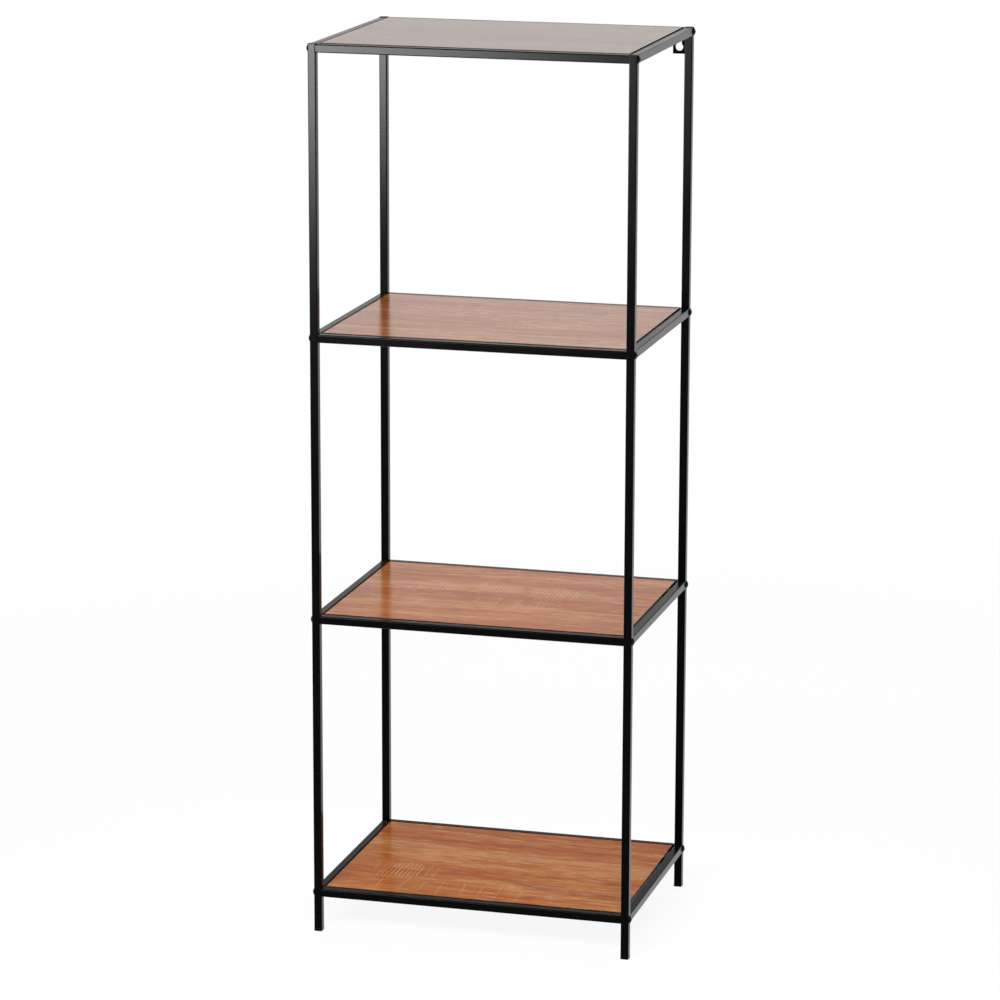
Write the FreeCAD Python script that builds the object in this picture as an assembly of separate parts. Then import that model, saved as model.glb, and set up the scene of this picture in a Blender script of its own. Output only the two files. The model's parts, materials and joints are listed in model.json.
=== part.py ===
# Open shelving unit: a frame of thin square steel tube with a wood board let into each level.
# Millimetres. The origin is on the floor, at the middle of the footprint.
# Seen from the front, +X is right, +Y is towards the back and +Z is up.

import FreeCAD, Part
import math
import os

from FreeCAD import Vector

# Overall sizes, over the outer faces of the tubes
width = 400.0
depth = 300.0
height = 1100.0
level_count = 4
under_clearance = 45.0

# Square tube of the posts and rails
tube = 10.0
tube_wall = 0.8
tube_corner = 1.2

# Room on each side of a piece that is pushed into a tube
plug_clearance = 0.1

# Button head bolts that join the cross rails to the posts
bolt_diameter = 5.0
bolt_bite = 12.0
bolt_hole_clearance = 0.4
bolt_head_diameter = 9.5
bolt_head_rim = 0.5
bolt_head_height = 2.6
bolt_socket_flats = 3.0
bolt_socket_depth = 1.5

# Threaded blocks fixed inside the ends of the cross rails
nut_length = 15.0
thread_clearance = 0.2

# Wood boards, let into the rails, with their tops a little above them
board_thickness = 6.0
board_gap = 2.5
board_proud = 0.5
board_edge_round = 0.4

# Steel lugs, welded to the rails, that carry the boards
lug_thickness = 1.5
lug_width = 20.0
lug_reach = 14.0
lug_corner = 3.0
lug_from_post = 45.0

# Pan head screws that hold the boards to the lugs from below
board_screw_diameter = 3.2
board_screw_bite = 4.2
board_screw_hole_clearance = 0.4
board_screw_pilot_clearance = 0.1
board_screw_head_diameter = 6.4
board_screw_head_height = 1.7
board_screw_head_round = 0.8
board_screw_cross_width = 0.9
board_screw_cross_length = 3.2
board_screw_cross_depth = 0.9

# Plastic caps on the posts
cap_height = 0.5
cap_round = 0.3
cap_leg_length = 9.0
cap_leg_clearance = 0.3

# Plastic plugs under the posts
foot_height = 4.0
foot_lip = 0.1
foot_edge_round = 0.5
foot_stem_length = 14.0
foot_stem_chamfer = 0.8

# Plates with a keyhole, in the corners under the top back rail, that hang the unit to a wall
wall_tab_thickness = 1.5
wall_tab_width = 16.0
wall_tab_drop = 23.0
keyhole_diameter = 9.5
keyhole_slot_width = 6.0
keyhole_rise = 8.0
keyhole_bottom_margin = 3.6

# Sizes that follow from those above
tube_inside = tube - 2 * tube_wall
tube_inside_corner = max(tube_corner - tube_wall, 0.0)
plug_side = tube_inside - 2 * plug_clearance
post_x = (width - tube) / 2
post_y = (depth - tube) / 2
side_span = depth - 2 * tube
cross_span = width - 2 * tube
level_pitch = (height - tube - under_clearance) / (level_count - 1)
board_size_x = cross_span - 2 * board_gap
board_size_y = side_span - 2 * board_gap
lug_hole_reach = (board_gap + lug_reach) / 2

LEFT_RIGHT = {"left": -1, "right": 1}
FRONT_BACK = {"front": -1, "back": 1}
LEVELS = range(1, level_count + 1)

X_AXIS = Vector(1, 0, 0)
Y_AXIS = Vector(0, 1, 0)
Z_AXIS = Vector(0, 0, 1)
LENGTH_TOLERANCE = 1e-6
HEXAGON_SIDES = 6
FULL_TURN = 360


def rail_middle(level):
    """Height of the middle of a level's rails above the floor."""
    return under_clearance + (level - 1) * level_pitch + tube / 2


def board_top(level):
    return rail_middle(level) + tube / 2 + board_proud


def board_bottom(level):
    return board_top(level) - board_thickness


def centred_box(size_x, size_y, size_z):
    """Box that stands on the XY plane, centred on the Z axis."""
    return Part.makeBox(size_x, size_y, size_z, Vector(-size_x / 2, -size_y / 2, 0))


def placed(shape, base, direction=Z_AXIS):
    """Copy of a shape with its Z axis turned to a direction and its origin moved to a point."""
    copy = shape.copy()
    copy.Placement = FreeCAD.Placement(base, FreeCAD.Rotation(Z_AXIS, direction)) * shape.Placement
    return copy


def edges_along(shape, direction):
    """Straight edges of a shape that run along a direction."""
    found = []
    for edge in shape.Edges:
        span = edge.Vertexes[-1].Point - edge.Vertexes[0].Point
        if abs(abs(span.dot(direction)) - edge.Length) < LENGTH_TOLERANCE:
            found.append(edge)
    return found


def edges_at_height(shape, z):
    """Edges of a shape that lie flat at one height."""
    found = []
    for edge in shape.Edges:
        bounds = edge.BoundBox
        if abs(bounds.ZMin - z) < LENGTH_TOLERANCE and abs(bounds.ZMax - z) < LENGTH_TOLERANCE:
            found.append(edge)
    return found


def rounded_bar(side, corner, length):
    """Square bar up the Z axis, with its four long edges rounded."""
    bar = centred_box(side, side, length)
    if corner > 0:
        bar = bar.makeFillet(corner, edges_along(bar, Z_AXIS))
    return bar


def square_tube(length):
    outside = rounded_bar(tube, tube_corner, length)
    inside = rounded_bar(tube_inside, tube_inside_corner, length)
    return outside.cut(inside)


def post():
    """Tube from the foot plug to the cap, with a bolt hole through it at each level."""
    shape = placed(square_tube(height - foot_height), Vector(0, 0, foot_height))
    hole_radius = (bolt_diameter + bolt_hole_clearance) / 2
    for level in LEVELS:
        start = Vector(-tube / 2, 0, rail_middle(level))
        shape = shape.cut(Part.makeCylinder(hole_radius, tube, start, X_AXIS))
    return shape


def hexagon_socket():
    """Six-sided recess for a key, up from the XY plane."""
    corner_radius = bolt_socket_flats / 2 / math.cos(math.pi / HEXAGON_SIDES)
    corners = []
    for corner in range(HEXAGON_SIDES + 1):
        angle = math.radians(FULL_TURN * corner / HEXAGON_SIDES)
        corners.append(Vector(corner_radius * math.cos(angle), corner_radius * math.sin(angle), 0))
    return Part.Face(Part.makePolygon(corners)).extrude(Vector(0, 0, bolt_socket_depth))


def frame_bolt():
    """Bolt with its head up the Z axis and the underside of the head at the origin."""
    radius = bolt_head_diameter / 2
    crown = bolt_head_height - bolt_head_rim
    dome_radius = (radius**2 + crown**2) / (2 * crown)
    dome_centre = bolt_head_height - dome_radius
    half_angle = math.asin(radius / dome_radius) / 2
    dome_middle = Vector(
        dome_radius * math.sin(half_angle),
        0,
        dome_centre + dome_radius * math.cos(half_angle),
    )
    base = Vector(0, 0, 0)
    rim_low = Vector(radius, 0, 0)
    rim_high = Vector(radius, 0, bolt_head_rim)
    top = Vector(0, 0, bolt_head_height)
    outline = Part.Wire(
        [
            Part.makeLine(base, rim_low),
            Part.makeLine(rim_low, rim_high),
            Part.Arc(rim_high, dome_middle, top).toShape(),
            Part.makeLine(top, base),
        ]
    )
    head = Part.Face(outline).revolve(base, Z_AXIS, FULL_TURN)
    head = head.cut(placed(hexagon_socket(), Vector(0, 0, bolt_head_height - bolt_socket_depth)))
    shank = Part.makeCylinder(bolt_diameter / 2, tube + bolt_bite, base, -Z_AXIS)
    return head.fuse(shank).removeSplitter()


def rail_nut():
    """Threaded block that goes down from the mouth of a rail, which is at the origin."""
    block = rounded_bar(plug_side, tube_inside_corner, nut_length)
    bore = Part.makeCylinder((bolt_diameter + thread_clearance) / 2, nut_length)
    return placed(block.cut(bore), Vector(0, 0, -nut_length))


def at_bolted_corners(shape, distance, level):
    """Copies of a shape at a level's four bolted corners, facing outwards, at a distance from the middle."""
    copies = []
    for side in LEFT_RIGHT.values():
        for face in FRONT_BACK.values():
            base = Vector(side * distance, face * post_y, rail_middle(level))
            copies.append(placed(shape, base, X_AXIS * side))
    return Part.makeCompound(copies)


def lug_seats():
    """Where each lug leaves its rail, seen from above, and the direction it points."""
    seats = []
    for side in LEFT_RIGHT.values():
        for face in FRONT_BACK.values():
            place = Vector(side * cross_span / 2, face * (side_span / 2 - lug_from_post), 0)
            seats.append((place, X_AXIS * -side))
    for face in FRONT_BACK.values():
        seats.append((Vector(0, face * side_span / 2, 0), Y_AXIS * -face))
    return seats


def lug():
    """Flat lug that points along +X from the origin, with its top at the origin's height."""
    shape = Part.makeBox(lug_reach, lug_width, lug_thickness, Vector(0, -lug_width / 2, -lug_thickness))
    free_corners = []
    for edge in edges_along(shape, Z_AXIS):
        if edge.CenterOfMass.x > lug_reach / 2:
            free_corners.append(edge)
    shape = shape.makeFillet(lug_corner, free_corners)
    hole_radius = (board_screw_diameter + board_screw_hole_clearance) / 2
    start = Vector(lug_hole_reach, 0, -lug_thickness)
    return shape.cut(Part.makeCylinder(hole_radius, lug_thickness, start))


def board_screw():
    """Screw that points up, with the top of its head at the origin."""
    head = Part.makeCylinder(board_screw_head_diameter / 2, board_screw_head_height)
    head = head.makeFillet(board_screw_head_round, edges_at_height(head, 0))
    for size in ((board_screw_cross_length, board_screw_cross_width),
                 (board_screw_cross_width, board_screw_cross_length)):
        head = head.cut(centred_box(size[0], size[1], board_screw_cross_depth))
    head.translate(Vector(0, 0, -board_screw_head_height))
    shank_length = lug_thickness + board_screw_bite
    shank = Part.makeCylinder(board_screw_diameter / 2, shank_length)
    return head.fuse(shank).removeSplitter()


def lugs_and_screws(level):
    """The lugs of one level, and the screws that go up through them."""
    lugs = []
    screws = []
    for place, direction in lug_seats():
        turn = FreeCAD.Rotation(X_AXIS, direction)
        seat = place + Vector(0, 0, board_bottom(level))
        one_lug = lug()
        one_lug.Placement = FreeCAD.Placement(seat, turn)
        lugs.append(one_lug)
        screw_place = seat + direction * lug_hole_reach - Vector(0, 0, lug_thickness)
        screws.append(placed(board_screw(), screw_place))
    return Part.makeCompound(lugs), Part.makeCompound(screws)


def shelf_board(level):
    """Board with eased edges and a blind pilot hole over each lug."""
    board = centred_box(board_size_x, board_size_y, board_thickness)
    board = board.makeFillet(board_edge_round, board.Edges)
    pilot_radius = (board_screw_diameter + board_screw_pilot_clearance) / 2
    pilot_depth = board_screw_bite + board_screw_pilot_clearance
    for place, direction in lug_seats():
        start = place + direction * lug_hole_reach
        board = board.cut(Part.makeCylinder(pilot_radius, pilot_depth, start))
    return placed(board, Vector(0, 0, board_bottom(level)))


def post_cap():
    """Low rounded cap over the end of a post, with two legs that pass on either side of the top bolt."""
    crown = rounded_bar(tube, tube_corner, cap_height)
    crown = crown.makeFillet(cap_round, edges_at_height(crown, cap_height))
    slot_width = bolt_diameter + 2 * cap_leg_clearance
    legs = rounded_bar(plug_side, tube_inside_corner, cap_leg_length)
    legs = legs.cut(centred_box(plug_side, slot_width, cap_leg_length))
    return crown.fuse(placed(legs, Vector(0, 0, -cap_leg_length))).removeSplitter()


def foot_plug():
    """Foot with a lip a little wider than the tube, and a stem that goes up into it."""
    lip = rounded_bar(tube + 2 * foot_lip, tube_corner + foot_lip, foot_height)
    lip = lip.makeFillet(foot_edge_round, edges_at_height(lip, 0))
    stem = rounded_bar(plug_side, tube_inside_corner, foot_stem_length)
    stem = stem.makeChamfer(foot_stem_chamfer, edges_at_height(stem, foot_stem_length))
    return lip.fuse(placed(stem, Vector(0, 0, foot_height))).removeSplitter()


def wall_tab(side):
    """Plate in the corner between a back post and the top back rail, with its keyhole."""
    rail_underside = rail_middle(level_count) - tube / 2
    back_face = depth / 2 - tube_corner
    middle_x = side * (cross_span / 2 - wall_tab_width / 2)
    low_x = middle_x - wall_tab_width / 2
    low = Vector(low_x, back_face - wall_tab_thickness, rail_underside - wall_tab_drop)
    plate = Part.makeBox(wall_tab_width, wall_tab_thickness, wall_tab_drop, low)
    hole_z = low.z + keyhole_bottom_margin + keyhole_diameter / 2
    hole_start = Vector(middle_x, low.y, hole_z)
    slot_end = hole_start + Vector(0, 0, keyhole_rise)
    slot_corner = hole_start - Vector(keyhole_slot_width / 2, 0, 0)
    for opening in (
        Part.makeCylinder(keyhole_diameter / 2, wall_tab_thickness, hole_start, Y_AXIS),
        Part.makeBox(keyhole_slot_width, wall_tab_thickness, keyhole_rise, slot_corner),
        Part.makeCylinder(keyhole_slot_width / 2, wall_tab_thickness, slot_end, Y_AXIS),
    ):
        plate = plate.cut(opening)
    return plate


def frame_nodes():
    """Posts, their caps and feet, and the wall tabs."""
    nodes = {}
    for face_name, face in FRONT_BACK.items():
        for side_name, side in LEFT_RIGHT.items():
            corner = face_name + "_" + side_name
            foot = Vector(side * post_x, face * post_y, 0)
            nodes["post_" + corner] = placed(post(), foot)
            nodes["post_cap_" + corner] = placed(post_cap(), foot + Vector(0, 0, height))
            nodes["foot_plug_" + corner] = placed(foot_plug(), foot)
    for side_name, side in LEFT_RIGHT.items():
        nodes["wall_tab_" + side_name] = wall_tab(side)
    return nodes


def level_nodes(level):
    """Rails, bolts, nuts, board, lugs and screws of one level. Level 1 is the lowest."""
    nodes = {}
    middle = rail_middle(level)
    for side_name, side in LEFT_RIGHT.items():
        start = Vector(side * post_x, -side_span / 2, middle)
        nodes["side_rail_" + side_name] = placed(square_tube(side_span), start, Y_AXIS)
    for face_name, face in FRONT_BACK.items():
        start = Vector(-cross_span / 2, face * post_y, middle)
        nodes["cross_rail_" + face_name] = placed(square_tube(cross_span), start, X_AXIS)
    nodes["frame_bolts"] = at_bolted_corners(frame_bolt(), width / 2, level)
    nodes["rail_nuts"] = at_bolted_corners(rail_nut(), cross_span / 2, level)
    nodes["shelf_board"] = shelf_board(level)
    nodes["board_lugs"], nodes["board_screws"] = lugs_and_screws(level)
    return {name + "_level_" + str(level): shape for name, shape in nodes.items()}


os.makedirs("parts", exist_ok=True)
all_nodes = frame_nodes()
for level in LEVELS:
    all_nodes.update(level_nodes(level))
for name, shape in all_nodes.items():
    shape.exportStep("parts/" + name + ".step")
print(len(all_nodes), "nodes")
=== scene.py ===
# Looks of the open shelving unit: black satin paint, oak-look boards, black plastic, plated screws.
# Metres, in the same frame as the solids: +X right, +Y back, +Z up, origin on the floor.

import json
import math

import bmesh
import bpy
from mathutils import Matrix, Vector


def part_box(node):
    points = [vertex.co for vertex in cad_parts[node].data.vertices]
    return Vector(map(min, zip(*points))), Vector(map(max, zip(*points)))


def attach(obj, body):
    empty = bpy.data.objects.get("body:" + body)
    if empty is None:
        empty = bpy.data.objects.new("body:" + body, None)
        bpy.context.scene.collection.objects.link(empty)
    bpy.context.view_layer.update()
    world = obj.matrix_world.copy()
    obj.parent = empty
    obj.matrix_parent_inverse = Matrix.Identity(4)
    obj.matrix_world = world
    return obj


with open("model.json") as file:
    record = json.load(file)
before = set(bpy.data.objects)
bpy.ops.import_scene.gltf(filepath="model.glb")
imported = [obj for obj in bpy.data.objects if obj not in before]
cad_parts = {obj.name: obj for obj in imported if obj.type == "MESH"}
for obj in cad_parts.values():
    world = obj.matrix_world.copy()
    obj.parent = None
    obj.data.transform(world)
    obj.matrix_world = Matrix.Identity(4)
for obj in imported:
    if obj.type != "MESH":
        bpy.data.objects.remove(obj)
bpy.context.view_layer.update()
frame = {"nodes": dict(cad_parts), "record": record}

BODY = "root"
LEVELS = range(1, 5)
MILLIMETRE = 0.001
UP = Vector((0, 0, 1))
BACK = Vector((0, 1, 0))
RIGHT = Vector((1, 0, 0))

# Camera, in the photograph's place
CAMERA_PLACE = Vector((1.30531, -4.80279, 1.68456))
CAMERA_YAW = -0.26611
CAMERA_PITCH = -0.22848
CAMERA_ROLL = 0.00276
CAMERA_LENS_MM = 149.33
CAMERA_SENSOR_MM = 36.0

# Colours, as linear red, green and blue
PAINT_BLACK = (0.0010, 0.0010, 0.0011, 1)
PAINT_WORN = (0.0040, 0.0040, 0.0041, 1)
PLASTIC_BLACK = (0.0020, 0.0020, 0.0021, 1)
PLASTIC_FACE = (0.0036, 0.0036, 0.0037, 1)
BOLT_BLACK = (0.0016, 0.0016, 0.0017, 1)
BOLT_RUBBED = (0.0060, 0.0059, 0.0057, 1)
DIM_FACE_ON = (0.15, 0.15, 0.15, 1)
ZINC_PALE = (0.62, 0.63, 0.64, 1)
ZINC_DULL = (0.42, 0.41, 0.37, 1)
OAK_LIGHT = (0.465, 0.203, 0.075, 1)
OAK_MIDDLE = (0.382, 0.115, 0.012, 1)
OAK_DARK = (0.312, 0.059, 0.002, 1)
OAK_LINE = (0.240, 0.043, 0.002, 1)
OAK_PORE = (0.222, 0.040, 0.002, 1)
OAK_SAWN = (0.620, 0.340, 0.170, 1)
# Board edges: the edge band's own dark brown, made much darker as painted shade of the gap between board
# and rails
OAK_EDGE_BAND_AND_SHADE_DARK = (0.022, 0.0085, 0.0030, 1)
OAK_EDGE_BAND_AND_SHADE_BROWN = (0.046, 0.0190, 0.0070, 1)
BACKING_LIGHT = (0.330, 0.215, 0.120, 1)
BACKING_DARK = (0.250, 0.155, 0.085, 1)
FLOOR_PALE = (0.90, 0.90, 0.90, 1)
WHITE = (1, 1, 1, 1)
DOME_GREY = (0.12, 0.12, 0.12, 1)
CEILING_GREY = (0.08, 0.08, 0.08, 1)

# Values of a noise: its middle, the range that holds most of it, and a narrower one
NOISE_MIDDLE = 0.5
NOISE_MOST = (0.30, 0.70)
NOISE_CORE = (0.35, 0.65)

# Saw marks on the boards: level, middle in X and Y, half length along X and half depth along Y
SAW_COMBS = (
    (1, -0.114, -0.054, 0.040, 0.032),
    (2, -0.088, 0.026, 0.032, 0.020),
    (2, -0.016, 0.042, 0.036, 0.018),
    (2, 0.062, 0.028, 0.044, 0.028),
    (3, 0.040, -0.030, 0.046, 0.018),
    (4, -0.060, 0.020, 0.050, 0.022),
)
SAW_LONE_ROWS = (
    (1, -0.045, -0.104, 0.120, 0.024),
    (2, 0.012, -0.022, 0.070, 0.018),
    (3, -0.070, 0.060, 0.090, 0.020),
    (4, 0.070, -0.070, 0.090, 0.020),
)
SAW_COMB_STEP = 5.2 * MILLIMETRE
SAW_LONE_STEP = 26.0 * MILLIMETRE
SAW_MARK_WIDTH = 1.3 * MILLIMETRE


class Graph:
    """Short ways to add and join the nodes of one material, lamp or world."""

    def __init__(self, tree):
        self.tree = tree
        tree.nodes.clear()

    def add(self, kind, **settings):
        node = self.tree.nodes.new(kind)
        for name, value in settings.items():
            setattr(node, name, value)
        return node

    def put(self, target, value):
        """Joins an output to an input socket, or sets the socket's own value."""
        if isinstance(value, bpy.types.NodeSocket):
            self.tree.links.new(value, target)
        else:
            target.default_value = value

    def math(self, operation, first, second=0.0):
        node = self.add("ShaderNodeMath", operation=operation)
        self.put(node.inputs[0], first)
        self.put(node.inputs[1], second)
        return node.outputs[0]

    def plus(self, first, second):
        return self.math("ADD", first, second)

    def times(self, first, second):
        return self.math("MULTIPLY", first, second)

    def vector(self, operation, first, second):
        node = self.add("ShaderNodeVectorMath", operation=operation)
        self.put(node.inputs[0], first)
        self.put(node.inputs[1], second)
        return node.outputs[0]

    def stretched(self, vector, factors):
        """A place with each of its three parts multiplied by a factor."""
        return self.vector("MULTIPLY", vector, factors)

    def split(self, vector):
        node = self.add("ShaderNodeSeparateXYZ")
        self.put(node.inputs[0], vector)
        return node.outputs

    def joined(self, x, y, z):
        node = self.add("ShaderNodeCombineXYZ")
        for socket, value in zip(node.inputs, (x, y, z)):
            self.put(socket, value)
        return node.outputs[0]

    def length(self, vector):
        node = self.add("ShaderNodeVectorMath", operation="LENGTH")
        self.put(node.inputs[0], vector)
        return node.outputs["Value"]

    def noise(self, vector, detail, scale=1.0, roughness=0.5):
        node = self.add("ShaderNodeTexNoise")
        self.put(node.inputs["Vector"], vector)
        node.inputs["Scale"].default_value = scale
        node.inputs["Detail"].default_value = detail
        node.inputs["Roughness"].default_value = roughness
        return node.outputs["Fac"]

    def from_noise_middle(self, noise):
        return self.math("SUBTRACT", noise, NOISE_MIDDLE)

    def ramp(self, value, low, high, to_low=0.0, to_high=1.0):
        """A value carried smoothly from one range to another, and held at the ends."""
        node = self.add("ShaderNodeMapRange", interpolation_type="SMOOTHSTEP")
        self.put(node.inputs["Value"], value)
        node.inputs["From Min"].default_value = low
        node.inputs["From Max"].default_value = high
        node.inputs["To Min"].default_value = to_low
        node.inputs["To Max"].default_value = to_high
        return node.outputs["Result"]

    def fall(self, value, low, high):
        """1 below a range of the value, 0 above it, and smooth between."""
        return self.ramp(value, low, high, 1.0, 0.0)

    def mix(self, factor, first, second):
        node = self.add("ShaderNodeMix", data_type="RGBA")
        self.put(node.inputs["Factor"], factor)
        self.put(node.inputs["A"], first)
        self.put(node.inputs["B"], second)
        return node.outputs["Result"]

    def mix_shaders(self, factor, first, second):
        node = self.add("ShaderNodeMixShader")
        self.put(node.inputs[0], factor)
        self.put(node.inputs[1], first)
        self.put(node.inputs[2], second)
        return node.outputs[0]

    def bump(self, height, distance, strength, under=None):
        node = self.add("ShaderNodeBump")
        node.inputs["Distance"].default_value = distance
        node.inputs["Strength"].default_value = strength
        self.put(node.inputs["Height"], height)
        if under is not None:
            self.put(node.inputs["Normal"], under)
        return node.outputs["Normal"]


class Surface(Graph):
    """A new material with one principled shader, and the places and directions on its surface."""

    def __init__(self, name):
        self.material = bpy.data.materials.new(name)
        self.material.use_nodes = True
        super().__init__(self.material.node_tree)
        self.shader = self.add("ShaderNodeBsdfPrincipled")
        output = self.add("ShaderNodeOutputMaterial")
        self.put(output.inputs["Surface"], self.shader.outputs["BSDF"])
        self.place = self.add("ShaderNodeTexCoord").outputs["Object"]
        self.facing = self.add("ShaderNodeNewGeometry").outputs["Normal"]

    def set(self, **values):
        """Sets or joins the shader's sockets, with underscores for the spaces in their names."""
        for name, value in values.items():
            self.put(self.shader.inputs[name.replace("_", " ")], value)

    def upward(self):
        """1 on faces that look straight up, 0 on upright ones and -1 on those that look down."""
        return self.split(self.facing)[2]

    def on_rounding(self):
        """1 on the rounded edges of square tube and bar, and 0 on the flats."""
        nearly_flat = (0.80, 0.985)
        parts = [self.math("ABSOLUTE", part) for part in self.split(self.facing)]
        most = self.math("MAXIMUM", self.math("MAXIMUM", parts[0], parts[1]), parts[2])
        return self.fall(most, *nearly_flat)


def frame_paint():
    """Black satin powder coat: fine ripple, drifting gloss, duller upper faces, thinner paint on edges."""
    roughness_range = (0.130, 0.165)
    nearly_up = (0.80, 0.98)
    added_roughness = 0.09
    worn_cloud = (0.40, 0.70)
    ripple_height = 0.010 * MILLIMETRE
    grain_height = 0.004 * MILLIMETRE
    bump_strength = 0.5

    paint = Surface("frame_paint_look")
    cloud = paint.noise(paint.place, scale=9.0, detail=4.0)
    ripple = paint.noise(paint.place, scale=900.0, detail=2.0)
    grain = paint.noise(paint.place, scale=3800.0, detail=1.0)
    gloss = paint.ramp(cloud, *NOISE_MOST, *roughness_range)
    dulling = paint.ramp(paint.upward(), *nearly_up, 0.0, added_roughness)
    patchy_edge = paint.times(paint.on_rounding(), paint.ramp(cloud, *worn_cloud))
    rippled = paint.bump(ripple, ripple_height, bump_strength)
    paint.set(
        Base_Color=paint.mix(patchy_edge, PAINT_BLACK, PAINT_WORN),
        Roughness=paint.plus(gloss, dulling),
        Specular_IOR_Level=0.15,
        Specular_Tint=DIM_FACE_ON,
        Normal=paint.bump(grain, grain_height, bump_strength, rippled),
    )
    return paint.material


def moulded_plastic():
    """Black moulded plastic with the fine eroded texture of its mould."""
    roughness_range = (0.28, 0.38)
    texture_height = 0.010 * MILLIMETRE
    bump_strength = 0.6

    plastic = Surface("black_plastic_look")
    cloud = plastic.noise(plastic.place, scale=120.0, detail=3.0)
    texture = plastic.noise(plastic.place, scale=4200.0, detail=2.0)
    plastic.set(
        Base_Color=plastic.mix(plastic.ramp(cloud, *NOISE_MOST), PLASTIC_BLACK, PLASTIC_FACE),
        Roughness=plastic.ramp(texture, *NOISE_MOST, *roughness_range),
        Specular_IOR_Level=0.25,
        Specular_Tint=DIM_FACE_ON,
        Normal=plastic.bump(texture, texture_height, bump_strength),
    )
    return plastic.material


def black_bolt():
    """Blackened steel, rubbed a little where the key and fingers go."""
    roughness_range = (0.20, 0.30)
    rubbed_cloud = (0.52, 0.72)
    turning_scale = (200.0, 2600.0, 2600.0)
    turning_height = 0.006 * MILLIMETRE
    bump_strength = 0.4

    bolt = Surface("bolt_black_look")
    cloud = bolt.noise(bolt.place, scale=420.0, detail=4.0)
    turning = bolt.noise(bolt.stretched(bolt.place, turning_scale), detail=2.0)
    bolt.set(
        Base_Color=bolt.mix(bolt.ramp(cloud, *rubbed_cloud), BOLT_BLACK, BOLT_RUBBED),
        Roughness=bolt.ramp(cloud, *NOISE_MOST, *roughness_range),
        Specular_IOR_Level=0.25,
        Specular_Tint=DIM_FACE_ON,
        Normal=bolt.bump(turning, turning_height, bump_strength),
    )
    return bolt.material


def zinc_steel():
    """Bright zinc plate that has dulled in patches."""
    roughness_range = (0.24, 0.42)
    spangle_height = 0.010 * MILLIMETRE
    bump_strength = 0.4

    zinc = Surface("zinc_steel_look")
    cloud = zinc.noise(zinc.place, scale=600.0, detail=4.0)
    spangle = zinc.noise(zinc.place, scale=3000.0, detail=2.0)
    zinc.set(
        Base_Color=zinc.mix(zinc.ramp(cloud, *NOISE_CORE), ZINC_PALE, ZINC_DULL),
        Metallic=1.0,
        Roughness=zinc.ramp(cloud, *NOISE_MOST, *roughness_range),
        Normal=zinc.bump(spangle, spangle_height, bump_strength),
    )
    return zinc.material


def oak_flames(oak, grain_place, fibres):
    """Share of the flame-shaped growth lines, which show in some places only."""
    rings_per_metre = 30.0
    hill_scale = (1.8, 10.0, 8.0)
    hill_in_rings = 4.5
    crest_range = (0.45, 1.0)
    patch_scale = (4.0, 11.0, 7.0)
    patch_range = (0.44, 0.60)
    share_by_fibres = (0.90, 0.30)

    grain_y = oak.split(grain_place)[1]
    hills = oak.noise(oak.stretched(grain_place, hill_scale), detail=1.0)
    rings = oak.plus(oak.times(grain_y, rings_per_metre), oak.times(hills, hill_in_rings))
    waves = oak.math("SINE", oak.times(rings, 2 * math.pi))
    patches = oak.noise(oak.stretched(oak.place, patch_scale), detail=1.0)
    share = oak.times(oak.ramp(waves, *crest_range), oak.ramp(patches, *patch_range))
    return oak.times(share, oak.ramp(fibres, *NOISE_CORE, *share_by_fibres))


def oak_grain(oak):
    """Colour of wood with its grain along X, and the tone, fibres and pores that it comes from."""
    wander_scale = (3.0, 7.0, 5.0)
    wander_reach = 55 * MILLIMETRE
    band_scale = (2.2, 24.0, 13.0)
    tone_scale = (7.0, 85.0, 12.0)
    fibre_scale = (36.0, 300.0, 40.0)
    pore_scale = (95.0, 420.0, 70.0)
    band_weight = 0.46
    tone_weight = 0.42
    fibre_weight = 0.58
    dark_to_middle = (0.39, 0.50)
    middle_to_light = (0.50, 0.61)
    pore_range = (0.54, 0.70)
    pore_strength = 0.55

    # Slow wander of the grain, so that no line runs dead straight
    x, y, z = oak.split(oak.place)
    wander = oak.noise(oak.stretched(oak.place, wander_scale), detail=2.0)
    grain_place = oak.joined(x, oak.plus(y, oak.times(wander, wander_reach)), z)

    # Broad bands, tones, fibres and pores, from coarse to fine
    bands = oak.noise(oak.stretched(grain_place, band_scale), detail=2.0)
    tones = oak.noise(oak.stretched(grain_place, tone_scale), detail=4.0, roughness=0.55)
    fibres = oak.noise(oak.stretched(grain_place, fibre_scale), detail=4.0, roughness=0.60)
    pores = oak.noise(oak.stretched(grain_place, pore_scale), detail=2.0)
    tone = oak.plus(oak.times(tones, tone_weight), oak.times(fibres, fibre_weight))
    tone = oak.plus(tone, oak.times(oak.from_noise_middle(bands), band_weight))

    colour = oak.mix(oak.ramp(tone, *dark_to_middle), OAK_DARK, OAK_MIDDLE)
    colour = oak.mix(oak.ramp(tone, *middle_to_light), colour, OAK_LIGHT)
    colour = oak.mix(oak_flames(oak, grain_place, fibres), colour, OAK_LINE)
    pore_share = oak.times(oak.ramp(pores, *pore_range), pore_strength)
    colour = oak.mix(pore_share, colour, OAK_PORE)
    return colour, tone, fibres, pores


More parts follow.
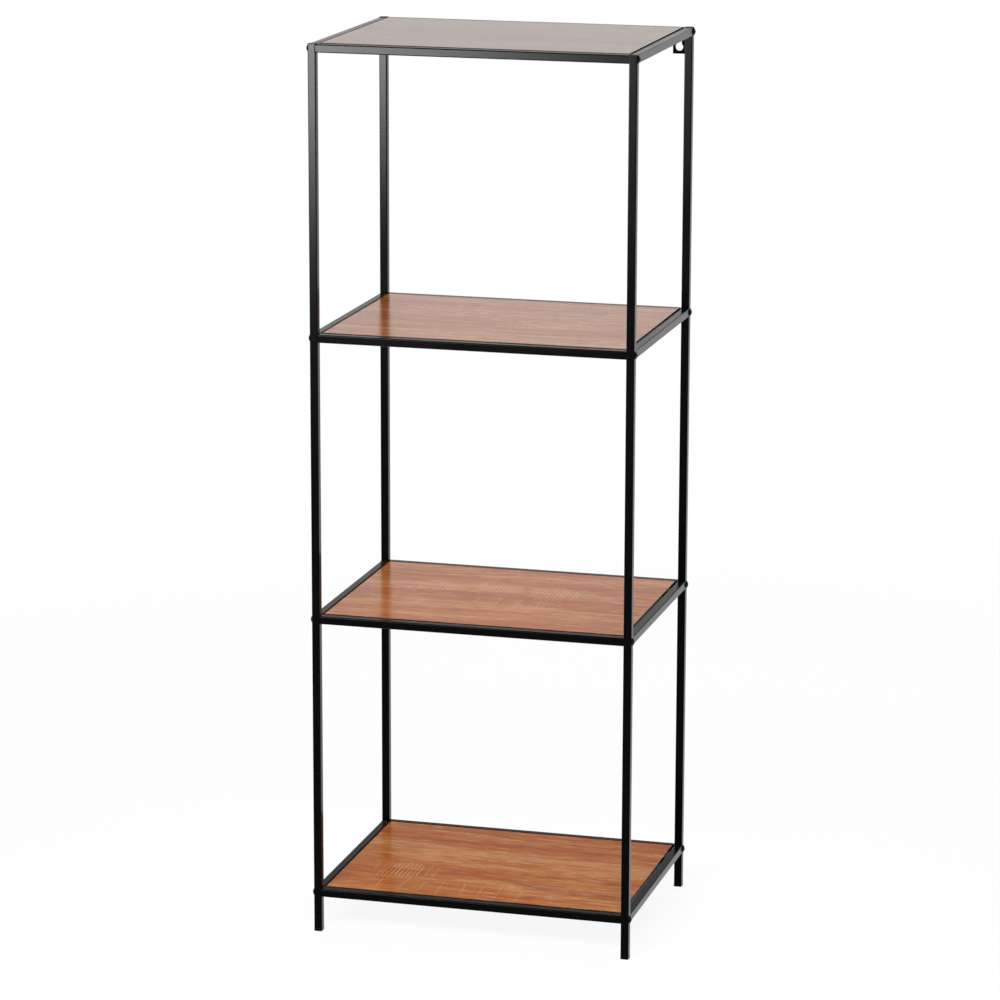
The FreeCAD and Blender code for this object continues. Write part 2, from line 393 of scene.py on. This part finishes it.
def saw_marks(oak, places, step):
    """Share of the pale strokes that lie across the grain at an even step, in the given places."""
    sway_scale = (14.0, 9.0, 5.0)
    sway_in_steps = 0.9
    soft_side = (0.5, 1.5)
    scale_per_stroke = 3.7
    scale_along_stroke = 9.0
    uneven_reach = 1.6
    soft_rim = (0.70, 1.05)
    press_range = (0.55, 1.0)
    level_half_height = 100 * MILLIMETRE

    # Strokes at an even step along X, which sway a little
    x, y, z = oak.split(oak.place)
    sway = oak.noise(oak.stretched(oak.place, sway_scale), detail=1.0)
    turn = oak.plus(oak.times(x, 1 / step), oak.times(sway, sway_in_steps))
    from_middle = oak.math("ABSOLUTE", oak.math("SUBTRACT", oak.math("FRACT", turn), 0.5))
    half_width = SAW_MARK_WIDTH / 2 / step
    stroke = oak.fall(from_middle, *(half_width * share for share in soft_side))

    # Each stroke's own noise, which makes it longer or shorter and stronger or weaker
    number = oak.math("FLOOR", turn)
    own_place = oak.joined(oak.times(number, scale_per_stroke), oak.times(y, scale_along_stroke), z)
    own = oak.noise(own_place, detail=0.0)
    reach = oak.times(oak.from_noise_middle(own), uneven_reach)
    pressed = oak.times(stroke, oak.ramp(own, *NOISE_MOST, *press_range))

    inside = 0.0
    for level, middle_x, middle_y, half_x, half_y in places:
        middle = (middle_x, middle_y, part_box(f"shelf_board_level_{level}")[1].z)
        away = oak.vector("SUBTRACT", oak.place, middle)
        distance = oak.length(oak.stretched(away, (1 / half_x, 1 / half_y, 1 / level_half_height)))
        here = oak.fall(oak.plus(distance, reach), *soft_rim)
        inside = oak.math("MAXIMUM", inside, here)
    return oak.times(pressed, inside)


def oak_board():
    """Oak-look laminate: grain and pale saw marks on top, edges in a dark edge-band colour with painted
    shade of the gap added, and a plain backing below.
    """
    comb_strength = 0.70
    lone_strength = 0.50
    nearly_up = (0.86, 0.97)
    nearly_down = (-0.95, -0.80)
    roughness_range = (0.195, 0.185)
    added_roughness = 0.12
    pore_depth = 0.6
    relief_height = 0.012 * MILLIMETRE
    bump_strength = 0.22

    oak = Surface("board_wood_look")
    grain, tone, fibres, pores = oak_grain(oak)
    combs = oak.times(saw_marks(oak, SAW_COMBS, SAW_COMB_STEP), comb_strength)
    lone = oak.times(saw_marks(oak, SAW_LONE_ROWS, SAW_LONE_STEP), lone_strength)
    top = oak.mix(oak.math("MAXIMUM", combs, lone), grain, OAK_SAWN)
    # Edge faces: partly the dark edge band's colour, partly painted shade of the gap beside the rails
    edge_and_shade = oak.mix(oak.ramp(fibres, *NOISE_CORE), OAK_EDGE_BAND_AND_SHADE_DARK, OAK_EDGE_BAND_AND_SHADE_BROWN)
    felt = oak.noise(oak.place, scale=700.0, detail=5.0)
    backing = oak.mix(oak.ramp(felt, *NOISE_CORE), BACKING_DARK, BACKING_LIGHT)

    off_top = oak.fall(oak.upward(), *nearly_up)
    below = oak.fall(oak.upward(), *nearly_down)
    gloss = oak.ramp(tone, *NOISE_CORE, *roughness_range)
    relief = oak.math("SUBTRACT", fibres, oak.times(pores, pore_depth))
    oak.set(
        Base_Color=oak.mix(below, oak.mix(off_top, top, edge_and_shade), backing),
        Roughness=oak.plus(gloss, oak.times(off_top, added_roughness)),
        Specular_IOR_Level=0.30,
        Normal=oak.bump(relief, relief_height, bump_strength),
    )
    return oak.material


def weld_bead(mesh, start, end, out_one, out_two, leg):
    """Adds a rippled fillet weld along an inside corner, between two outward directions."""
    ripple_step = 1.1 * MILLIMETRE
    ripple_depth = 0.10
    fewest_ripples = 3
    rings_per_ripple = 6
    arc_steps = 6
    bulge = 0.80
    sink = 0.25
    end_taper = 0.8
    bluntest_end = 0.04

    along = end - start
    ripples = max(fewest_ripples, round(along.length / ripple_step))
    ring_count = ripples * rings_per_ripple
    rings = []
    for step in range(ring_count + 1):
        share = step / ring_count
        from_end = min(share, 1 - share) * along.length / (end_taper * leg)
        taper = math.sqrt(max(bluntest_end, 1 - max(0.0, 1 - from_end) ** 2))
        wave = abs(math.sin(math.pi * ripples * share))
        reach = leg * taper * (1 - ripple_depth + ripple_depth * wave)
        middle = start + along * share
        ring = [mesh.verts.new(middle - (out_one + out_two) * leg * sink)]
        for arc in range(arc_steps + 1):
            angle = math.pi / 2 * arc / arc_steps
            flat = 1 - arc / arc_steps
            one = bulge * math.cos(angle) + (1 - bulge) * flat
            two = bulge * math.sin(angle) + (1 - bulge) * (1 - flat)
            ring.append(mesh.verts.new(middle + (out_one * one + out_two * two) * reach))
        rings.append(ring)
    for before, after in zip(rings, rings[1:]):
        for corner in range(len(before)):
            following = (corner + 1) % len(before)
            mesh.faces.new((before[corner], before[following], after[following], after[corner]))
    mesh.faces.new(rings[0])
    mesh.faces.new(rings[-1])


def weld_piece(name, beads, paint):
    """One piece that holds several beads, painted with the frame."""
    shape = bmesh.new()
    for bead in beads:
        weld_bead(shape, *bead)
    bmesh.ops.recalc_face_normals(shape, faces=shape.faces)
    for face in shape.faces:
        face.smooth = True
    mesh = bpy.data.meshes.new(name)
    shape.to_mesh(mesh)
    shape.free()
    mesh.materials.append(paint)
    piece = bpy.data.objects.new(name, mesh)
    bpy.context.scene.collection.objects.link(piece)
    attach(piece, BODY)


def rail_beads(level):
    """Beads under both ends of a level's side rails, where they meet the posts."""
    leg = 1.8 * MILLIMETRE
    half_length = 3.3 * MILLIMETRE
    beads = []
    for side in ("left", "right"):
        low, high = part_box(f"side_rail_{side}_level_{level}")
        middle_x = (low.x + high.x) / 2
        for end_y, inward in ((low.y, BACK), (high.y, -BACK)):
            corner = Vector((middle_x, end_y, low.z))
            reach = RIGHT * half_length
            beads.append((corner - reach, corner + reach, inward, -UP, leg))
    return beads


def lug_groups(level):
    """For each lug of a level: its corner points, the direction of its rail and the inward one."""
    lug_reach = 20 * MILLIMETRE
    solid = frame["nodes"][f"board_lugs_level_{level}"]
    points = [solid.matrix_world @ vertex.co for vertex in solid.data.vertices]
    left_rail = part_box(f"side_rail_left_level_{level}")
    right_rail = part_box(f"side_rail_right_level_{level}")
    front_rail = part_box(f"cross_rail_front_level_{level}")
    back_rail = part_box(f"cross_rail_back_level_{level}")
    groups = []
    for inner_x, inward in ((left_rail[1].x, RIGHT), (right_rail[0].x, -RIGHT)):
        for half in (-1, 1):
            group = [p for p in points if abs(p.x - inner_x) < lug_reach and p.y * half > lug_reach]
            groups.append((group, BACK, inward))
    for inner_y, inward in ((front_rail[1].y, BACK), (back_rail[0].y, -BACK)):
        group = [p for p in points if abs(p.y - inner_y) < lug_reach and abs(p.x) < lug_reach]
        groups.append((group, RIGHT, inward))
    return groups


def lug_beads(level):
    """Two short beads under each lug, where it meets its rail."""
    leg = 1.1 * MILLIMETRE
    half_length = 3.0 * MILLIMETRE
    from_end = 4.5 * MILLIMETRE
    beads = []
    for points, along, inward in lug_groups(level):
        near = min(p.dot(inward) for p in points)
        first = min(p.dot(along) for p in points)
        last = max(p.dot(along) for p in points)
        bottom = min(p.z for p in points)
        for place in (first + from_end, last - from_end):
            corner = inward * near + along * place + UP * bottom
            reach = along * half_length
            beads.append((corner - reach, corner + reach, inward, -UP, leg))
    return beads


def tab_beads():
    """Beads on the front of each wall tab, under the rail and beside the post."""
    leg = 1.5 * MILLIMETRE
    under_rail_half = 5.0 * MILLIMETRE
    beside_post_half = 6.0 * MILLIMETRE
    beads = []
    for side, outward in (("left", -RIGHT), ("right", RIGHT)):
        low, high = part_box(f"wall_tab_{side}")
        middle = (low + high) / 2
        top_corner = Vector((middle.x, low.y, high.z))
        reach = RIGHT * under_rail_half
        beads.append((top_corner - reach, top_corner + reach, -BACK, -UP, leg))
        post_x = high.x if outward.x > 0 else low.x
        side_corner = Vector((post_x, low.y, middle.z))
        reach = UP * beside_post_half
        beads.append((side_corner - reach, side_corner + reach, -BACK, -outward, leg))
    return beads


def add_welds(paint):
    for level in LEVELS:
        weld_piece(f"welds_level_{level}", rail_beads(level) + lug_beads(level), paint)
    weld_piece("welds_wall_tabs", tab_beads(), paint)


def dress_nodes():
    """Gives every solid the material of its slot in the record."""
    looks = {
        "frame_paint": frame_paint(),
        "board_wood": oak_board(),
        "black_plastic": moulded_plastic(),
        "bolt_black": black_bolt(),
        "zinc_steel": zinc_steel(),
    }
    for part in frame["record"]["subparts"]:
        solid = frame["nodes"][part["node"]]
        solid.data.materials.clear()
        solid.data.materials.append(looks[part["material_slot"]])
    return looks


def seen_ray(graph):
    """1 for the rays that show the background: straight to the camera, mirrored, or let through."""
    path = graph.add("ShaderNodeLightPath").outputs
    mirrored = graph.math("MAXIMUM", path["Is Glossy Ray"], path["Is Transmission Ray"])
    return graph.math("MAXIMUM", path["Is Camera Ray"], mirrored)


def floor_look():
    """Looks white, more so further out, keeps the shadow, and isn't seen from below."""
    fade_radii = (0.5, 2.2)
    white_range = (0.92, 1.0)
    material = bpy.data.materials.new("floor_look")
    material.use_nodes = True
    graph = Graph(material.node_tree)
    matt = graph.add("ShaderNodeBsdfDiffuse")
    matt.inputs["Color"].default_value = FLOOR_PALE
    glow = graph.add("ShaderNodeEmission")
    glow.inputs["Color"].default_value = WHITE
    clear = graph.add("ShaderNodeBsdfTransparent")
    radius = graph.length(graph.add("ShaderNodeTexCoord").outputs["Object"])
    white_share = graph.times(seen_ray(graph), graph.ramp(radius, *fade_radii, *white_range))
    whitened = graph.mix_shaders(white_share, matt.outputs[0], glow.outputs[0])
    from_below = graph.add("ShaderNodeNewGeometry").outputs["Backfacing"]
    output = graph.add("ShaderNodeOutputMaterial")
    graph.put(output.inputs["Surface"], graph.mix_shaders(from_below, whitened, clear.outputs[0]))
    return material


def add_floor():
    """Wide pale floor, just under the feet."""
    half = 30.0
    drop = 0.2 * MILLIMETRE
    mesh = bpy.data.meshes.new("floor")
    corners = [(-half, -half, -drop), (half, -half, -drop), (half, half, -drop), (-half, half, -drop)]
    mesh.from_pydata(corners, [], [(0, 1, 2, 3)])
    mesh.materials.append(floor_look())
    floor = bpy.data.objects.new("floor", mesh)
    bpy.context.scene.collection.objects.link(floor)


def add_world():
    """White surroundings near the horizon, and a soft grey dome that gives the fill light."""
    white_up_to = math.sin(math.radians(13))
    grey_from = math.sin(math.radians(18.5))
    world = bpy.data.worlds.new("studio")
    world.use_nodes = True
    bpy.context.scene.world = world
    graph = Graph(world.node_tree)
    height = graph.split(graph.add("ShaderNodeTexCoord").outputs["Generated"])[2]
    path = graph.add("ShaderNodeLightPath").outputs
    backdrop = graph.mix(graph.ramp(height, white_up_to, grey_from), WHITE, CEILING_GREY)
    backdrop = graph.mix(path["Is Camera Ray"], backdrop, WHITE)
    sky = graph.add("ShaderNodeBackground")
    graph.put(sky.inputs["Color"], graph.mix(seen_ray(graph), DOME_GREY, backdrop))
    output = graph.add("ShaderNodeOutputWorld")
    graph.put(output.inputs["Surface"], sky.outputs[0])


def add_softbox(name, place, target, width, height, brightness, mirrored):
    """A rectangular lamp whose face has the given brightness, where 1 is white."""
    lamp = bpy.data.lights.new(name, "AREA")
    lamp.shape = "RECTANGLE"
    lamp.size = width
    lamp.size_y = height
    lamp.energy = math.pi * width * height * brightness
    holder = bpy.data.objects.new(name, lamp)
    holder.location = place
    holder.rotation_euler = (Vector(target) - Vector(place)).to_track_quat("-Z", "Y").to_euler()
    holder.visible_camera = False
    holder.visible_glossy = mirrored
    bpy.context.scene.collection.objects.link(holder)
    return holder


def fade_to_edges(lamp):
    """Leaves a lamp bright in a broad middle, with a long fade to its sides and a soft one up and down."""
    middle = (0.5, 0.5, 0.0)
    half_bright_at = 0.26
    side_power = 5.5
    side_rim = (0.40, 0.50)
    soft_up_and_down = (0.0, 0.46)
    lamp.use_nodes = True
    graph = Graph(lamp.node_tree)
    place = graph.add("ShaderNodeNewGeometry").outputs["Parametric"]
    from_middle = graph.split(graph.vector("SUBTRACT", place, middle))
    across = graph.math("ABSOLUTE", from_middle[0])
    down = graph.math("ABSOLUTE", from_middle[1])
    dimming = graph.math("POWER", graph.math("DIVIDE", across, half_bright_at), side_power)
    side_share = graph.math("DIVIDE", 1.0, graph.plus(dimming, 1.0))
    side_share = graph.times(side_share, graph.fall(across, *side_rim))
    glow = graph.add("ShaderNodeEmission")
    graph.put(glow.inputs["Strength"], graph.times(side_share, graph.fall(down, *soft_up_and_down)))
    output = graph.add("ShaderNodeOutputLight")
    graph.put(output.inputs["Surface"], glow.outputs[0])


def add_lamps():
    """Soft panels before and behind the unit, and one for the sheen on posts and front rails alone."""
    soft_panel = {"target": (0.0, 0.0, 0.8), "width": 1.6, "height": 0.5, "mirrored": False}
    add_softbox("front_panel", place=(0.1, -1.5, 1.22), brightness=21.0, **soft_panel)
    add_softbox("back_panel", place=(-0.1, 1.5, 1.22), brightness=9.0, **soft_panel)
    sheen = add_softbox(
        "sheen_panel",
        place=(-1.3, -3.0, 0.8),
        target=(-1.3, 0.0, 0.8),
        width=1.98,
        height=1.04,
        brightness=172.0,
        mirrored=True,
    )
    sheen.visible_diffuse = False
    fade_to_edges(sheen.data)
    takers = bpy.data.collections.new("sheen_takers")
    for part in frame["record"]["subparts"]:
        node = part["node"]
        painted = part["material_slot"] == "frame_paint"
        if painted and node.startswith(("post_", "cross_rail_front_")):
            takers.objects.link(frame["nodes"][node])
    sheen.light_linking.receiver_collection = takers


def add_camera():
    forward = Vector(
        (
            math.sin(CAMERA_YAW) * math.cos(CAMERA_PITCH),
            math.cos(CAMERA_YAW) * math.cos(CAMERA_PITCH),
            math.sin(CAMERA_PITCH),
        )
    )
    level_right = Vector((math.cos(CAMERA_YAW), -math.sin(CAMERA_YAW), 0))
    level_up = level_right.cross(forward)
    right = level_right * math.cos(CAMERA_ROLL) + level_up * math.sin(CAMERA_ROLL)
    up = level_up * math.cos(CAMERA_ROLL) - level_right * math.sin(CAMERA_ROLL)
    lens = bpy.data.cameras.new("camera")
    lens.lens = CAMERA_LENS_MM
    lens.sensor_width = CAMERA_SENSOR_MM
    camera = bpy.data.objects.new("camera", lens)
    turn = Matrix((right, up, -forward)).transposed()
    camera.matrix_world = Matrix.Translation(CAMERA_PLACE) @ turn.to_4x4()
    bpy.context.scene.collection.objects.link(camera)
    bpy.context.scene.camera = camera


looks = dress_nodes()
add_welds(looks["frame_paint"])
add_floor()
add_world()
add_lamps()
add_camera()
bpy.context.scene.view_settings.view_transform = "Standard"
